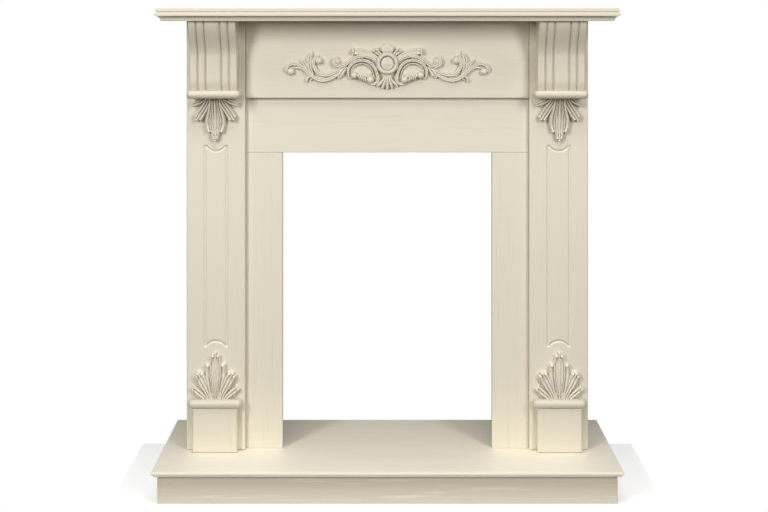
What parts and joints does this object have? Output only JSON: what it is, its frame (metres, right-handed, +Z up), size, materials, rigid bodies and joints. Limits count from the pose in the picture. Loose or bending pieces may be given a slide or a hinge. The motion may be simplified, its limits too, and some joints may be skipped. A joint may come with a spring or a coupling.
{
  "type": "fireplace mantelpiece",
  "caption": "Free-standing fireplace surround with a moulded shelf, fluted corbels, panelled pilasters, acanthus leaves and a scrolled frieze ornament, on a low hearth.",
  "frame": {"origin": "middle of the footprint on the floor: the hearth slab's outline, seen from above, at floor level", "axes": "+Z up; -Y is the front, towards the room; +Y is the back, against the wall; +X is to the right as seen from the front"},
  "size_m": [0.95, 0.326, 0.9995],
  "materials": {
    "ivory_boards": "ivory painted, satin, faint grain",
    "ivory_carving": "ivory painted, satin",
    "ivory_hearth": "ivory painted, satin, faint grain"
  },
  "bodies": {
    "root": {"mantel_shelf": "ivory_boards", "shelf_cove_moulding": "ivory_boards", "frieze_panel": "ivory_boards", "frieze_ornament": "ivory_carving", "lintel_panel": "ivory_boards", "slip_left": "ivory_boards", "slip_right": "ivory_boards", "pilaster_left": "ivory_boards", "pilaster_right": "ivory_boards", "side_panel_left": "ivory_boards", "side_panel_right": "ivory_boards", "corbel_left": "ivory_carving", "corbel_right": "ivory_carving", "corbel_torus_left": "ivory_carving", "corbel_torus_right": "ivory_carving", "acanthus_pendant_left": "ivory_carving", "acanthus_pendant_right": "ivory_carving", "acanthus_rising_left": "ivory_carving", "acanthus_rising_right": "ivory_carving", "base_torus_left": "ivory_carving", "base_torus_right": "ivory_carving", "base_block_left": "ivory_boards", "base_block_right": "ivory_boards", "hearth_slab": "ivory_hearth", "plinth_front": "ivory_hearth", "plinth_end_left": "ivory_hearth", "plinth_end_right": "ivory_hearth", "plinth_back": "ivory_hearth"}
  },
  "joints": []
}
